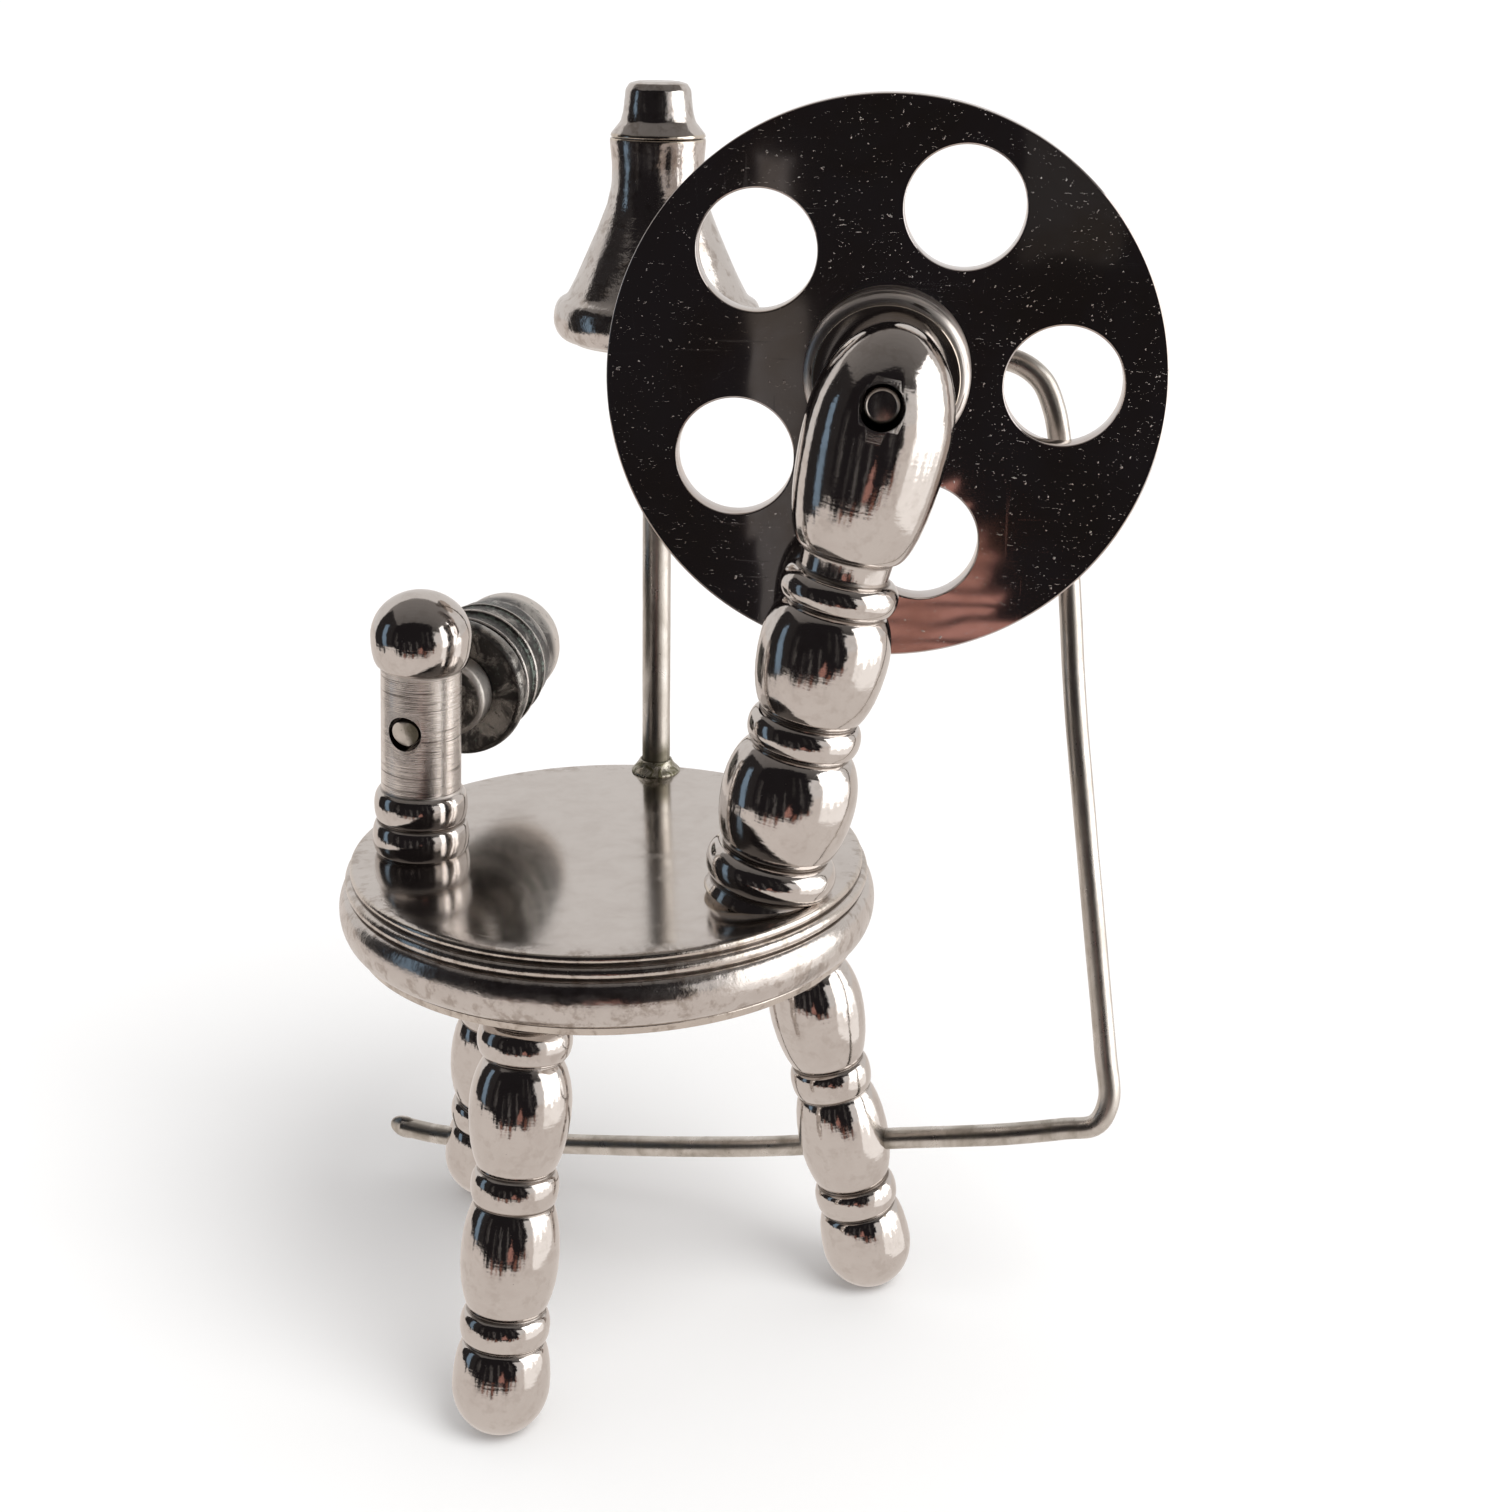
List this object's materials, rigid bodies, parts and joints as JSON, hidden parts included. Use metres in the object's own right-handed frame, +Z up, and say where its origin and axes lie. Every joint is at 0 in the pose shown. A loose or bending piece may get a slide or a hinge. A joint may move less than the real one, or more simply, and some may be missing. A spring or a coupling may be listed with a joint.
{
  "type": "spinning wheel",
  "caption": "Miniature metal spinning wheel: round table on splayed turned legs, a disc wheel on a leaning post, bobbin post, bell distaff and a bent footman wire.",
  "frame": {"origin": "centre of the footprint, on the surface the feet stand on", "axes": "+Z up, +Y back along the wheel axle, +X towards the wheel side"},
  "size_m": [0.0632, 0.0486, 0.0938],
  "materials": {
    "table_nickel": "nickel plate over brass, satin mirror with fine scuffs",
    "polished_nickel": "bright nickel plate over brass, faint lathe lines, brass showing at worn edges",
    "disc_mirror": "flat mirror polish, fine scratches and pits, brass at the hole rims",
    "plain_steel": "turned end with a small chamfer",
    "wire_metal": "drawn wire and rod, dulled plate with greenish tarnish near the joints",
    "dark_pewter": "old dark plate, turned grooves, specks of verdigris",
    "solder": "dull soft solder with green tarnish"
  },
  "bodies": {
    "root": {"table": "table_nickel", "leg_front_left": "polished_nickel", "leg_right": "polished_nickel", "leg_back_left": "polished_nickel", "wheel_post": "polished_nickel", "flyer_post": "polished_nickel", "wheel_axle": "plain_steel", "hub_washer": "polished_nickel", "axle_collar": "wire_metal", "footman_wire": "wire_metal", "flyer_pin": "wire_metal", "distaff_rod": "wire_metal", "rod_solder": "solder", "distaff_bell": "polished_nickel", "distaff_finial": "polished_nickel"},
    "wheel": {"wheel_disc": "disc_mirror", "wheel_hub": "polished_nickel"},
    "bobbin": {"bobbin_boss": "dark_pewter", "bobbin": "dark_pewter", "bobbin_cap": "dark_pewter"}
  },
  "joints": [
    {"name": "wheel_spin", "type": "hinge", "parent": "root", "child": "wheel", "pos_m": [0.01171, 0, 0.07475], "axis": [0, 1, 0], "continuous": true},
    {"name": "bobbin_spin", "type": "hinge", "parent": "root", "child": "bobbin", "pos_m": [-0.02281, -0.00267, 0.0486], "axis": [0.1426, 0.9898, 0], "continuous": true}
  ]
}
